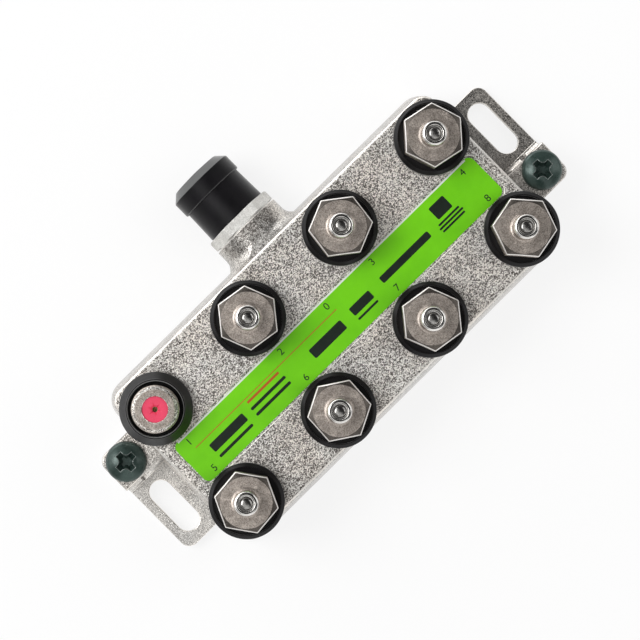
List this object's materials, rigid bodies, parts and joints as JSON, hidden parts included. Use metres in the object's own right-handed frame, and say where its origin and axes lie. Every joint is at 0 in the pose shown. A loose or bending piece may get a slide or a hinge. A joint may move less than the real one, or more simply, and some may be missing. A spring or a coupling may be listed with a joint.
{
  "type": "coaxial splitter",
  "caption": "Die-cast signal splitter with a 4 by 2 grid of threaded ports on top, a capped input on one long side, screwed-on terminators, a label strip and slotted ears with ground screws.",
  "frame": {"origin": "middle of the flat back", "axes": "+X along the long side, +Y to the input port, +Z out of the top face"},
  "size_m": [0.1082, 0.0616, 0.0297],
  "materials": {
    "nickel_casting": "satin",
    "nickel_turned": "satin",
    "tinned_steel": "satin",
    "green_label": "gloss",
    "board": "satin",
    "ferrite": "matte",
    "copper_wire": "gloss",
    "chip_ceramic": "satin",
    "white_plastic": "satin",
    "red_plastic": "satin",
    "contact_bronze": "satin",
    "cap_plastic": "satin",
    "seal_rubber": "satin",
    "green_screw": "gloss",
    "soldered_lead": "polished"
  },
  "bodies": {
    "body": {"housing": "nickel_casting", "back_plate": "tinned_steel", "label": "green_label", "circuit_board": "board", "ferrite_cores": "ferrite", "core_windings": "copper_wire", "power_choke": "ferrite", "chip_capacitors": "chip_ceramic", "input_connector": "nickel_turned", "input_insulator": "white_plastic", "input_contact": "contact_bronze", "output_insulator_1": "red_plastic", "output_insulator_2": "white_plastic", "output_insulator_3": "white_plastic", "output_insulator_4": "white_plastic", "output_insulator_5": "white_plastic", "output_insulator_6": "white_plastic", "output_insulator_7": "white_plastic", "output_insulator_8": "white_plastic", "output_contact_1": "contact_bronze", "output_contact_2": "contact_bronze", "output_contact_3": "contact_bronze", "output_contact_4": "contact_bronze", "output_contact_5": "contact_bronze", "output_contact_6": "contact_bronze", "output_contact_7": "contact_bronze", "output_contact_8": "contact_bronze", "seal_ring_1": "seal_rubber", "seal_ring_2": "seal_rubber", "seal_ring_3": "seal_rubber", "seal_ring_4": "seal_rubber", "seal_ring_5": "seal_rubber", "seal_ring_6": "seal_rubber", "seal_ring_7": "seal_rubber", "seal_ring_8": "seal_rubber"},
    "input_cap": {"input_cap": "cap_plastic"},
    "ground_screw_1": {"ground_screw_1": "green_screw"},
    "ground_screw_2": {"ground_screw_2": "green_screw"},
    "terminator_2_core": {"terminator_2_bead": "white_plastic", "terminator_2_resistor": "soldered_lead"},
    "terminator_2_shell": {"terminator_2_shell": "nickel_turned"},
    "terminator_3_core": {"terminator_3_bead": "white_plastic", "terminator_3_resistor": "soldered_lead"},
    "terminator_3_shell": {"terminator_3_shell": "nickel_turned"},
    "terminator_4_core": {"terminator_4_bead": "white_plastic", "terminator_4_resistor": "soldered_lead"},
    "terminator_4_shell": {"terminator_4_shell": "nickel_turned"},
    "terminator_5_core": {"terminator_5_bead": "white_plastic", "terminator_5_resistor": "soldered_lead"},
    "terminator_5_shell": {"terminator_5_shell": "nickel_turned"},
    "terminator_6_core": {"terminator_6_bead": "white_plastic", "terminator_6_resistor": "soldered_lead"},
    "terminator_6_shell": {"terminator_6_shell": "nickel_turned"},
    "terminator_7_core": {"terminator_7_bead": "white_plastic", "terminator_7_resistor": "soldered_lead"},
    "terminator_7_shell": {"terminator_7_shell": "nickel_turned"},
    "terminator_8_core": {"terminator_8_bead": "white_plastic", "terminator_8_resistor": "soldered_lead"},
    "terminator_8_shell": {"terminator_8_shell": "nickel_turned"}
  },
  "joints": [
    {"name": "input_cap_pull", "type": "slide", "parent": "body", "child": "input_cap", "axis": [0, 1, 0], "range_m": [0, 0.009]},
    {"name": "ground_screw_1_lift", "type": "slide", "parent": "body", "child": "ground_screw_1", "axis": [0, 0, 1], "range_m": [0, 0.003]},
    {"name": "ground_screw_2_lift", "type": "slide", "parent": "body", "child": "ground_screw_2", "axis": [0, 0, 1], "range_m": [0, 0.003]},
    {"name": "terminator_2_lift", "type": "slide", "parent": "body", "child": "terminator_2_core", "axis": [0, 0, 1], "range_m": [0, 0.0055]},
    {"name": "terminator_2_turn", "type": "hinge", "parent": "terminator_2_core", "child": "terminator_2_shell", "pos_m": [-0.0127, 0.012, 0.0165], "axis": [0, 0, 1], "range_deg": [0, 2495]},
    {"name": "terminator_3_lift", "type": "slide", "parent": "body", "child": "terminator_3_core", "axis": [0, 0, 1], "range_m": [0, 0.0055]},
    {"name": "terminator_3_turn", "type": "hinge", "parent": "terminator_3_core", "child": "terminator_3_shell", "pos_m": [0.0127, 0.012, 0.0165], "axis": [0, 0, 1], "range_deg": [0, 2495]},
    {"name": "terminator_4_lift", "type": "slide", "parent": "body", "child": "terminator_4_core", "axis": [0, 0, 1], "range_m": [0, 0.0055]},
    {"name": "terminator_4_turn", "type": "hinge", "parent": "terminator_4_core", "child": "terminator_4_shell", "pos_m": [0.0381, 0.012, 0.0165], "axis": [0, 0, 1], "range_deg": [0, 2495]},
    {"name": "terminator_5_lift", "type": "slide", "parent": "body", "child": "terminator_5_core", "axis": [0, 0, 1], "range_m": [0, 0.0055]},
    {"name": "terminator_5_turn", "type": "hinge", "parent": "terminator_5_core", "child": "terminator_5_shell", "pos_m": [-0.0381, -0.0134, 0.0165], "axis": [0, 0, 1], "range_deg": [0, 2495]},
    {"name": "terminator_6_lift", "type": "slide", "parent": "body", "child": "terminator_6_core", "axis": [0, 0, 1], "range_m": [0, 0.0055]},
    {"name": "terminator_6_turn", "type": "hinge", "parent": "terminator_6_core", "child": "terminator_6_shell", "pos_m": [-0.0127, -0.0134, 0.0165], "axis": [0, 0, 1], "range_deg": [0, 2495]},
    {"name": "terminator_7_lift", "type": "slide", "parent": "body", "child": "terminator_7_core", "axis": [0, 0, 1], "range_m": [0, 0.0055]},
    {"name": "terminator_7_turn", "type": "hinge", "parent": "terminator_7_core", "child": "terminator_7_shell", "pos_m": [0.0127, -0.0134, 0.0165], "axis": [0, 0, 1], "range_deg": [0, 2495]},
    {"name": "terminator_8_lift", "type": "slide", "parent": "body", "child": "terminator_8_core", "axis": [0, 0, 1], "range_m": [0, 0.0055]},
    {"name": "terminator_8_turn", "type": "hinge", "parent": "terminator_8_core", "child": "terminator_8_shell", "pos_m": [0.0381, -0.0134, 0.0165], "axis": [0, 0, 1], "range_deg": [0, 2495]}
  ],
  "couplings": [
    {"joint": "terminator_2_turn", "follows": "terminator_2_lift", "rad_per_m": 7915.8},
    {"joint": "terminator_3_turn", "follows": "terminator_3_lift", "rad_per_m": 7915.8},
    {"joint": "terminator_4_turn", "follows": "terminator_4_lift", "rad_per_m": 7915.8},
    {"joint": "terminator_5_turn", "follows": "terminator_5_lift", "rad_per_m": 7915.8},
    {"joint": "terminator_6_turn", "follows": "terminator_6_lift", "rad_per_m": 7915.8},
    {"joint": "terminator_7_turn", "follows": "terminator_7_lift", "rad_per_m": 7915.8},
    {"joint": "terminator_8_turn", "follows": "terminator_8_lift", "rad_per_m": 7915.8}
  ]
}
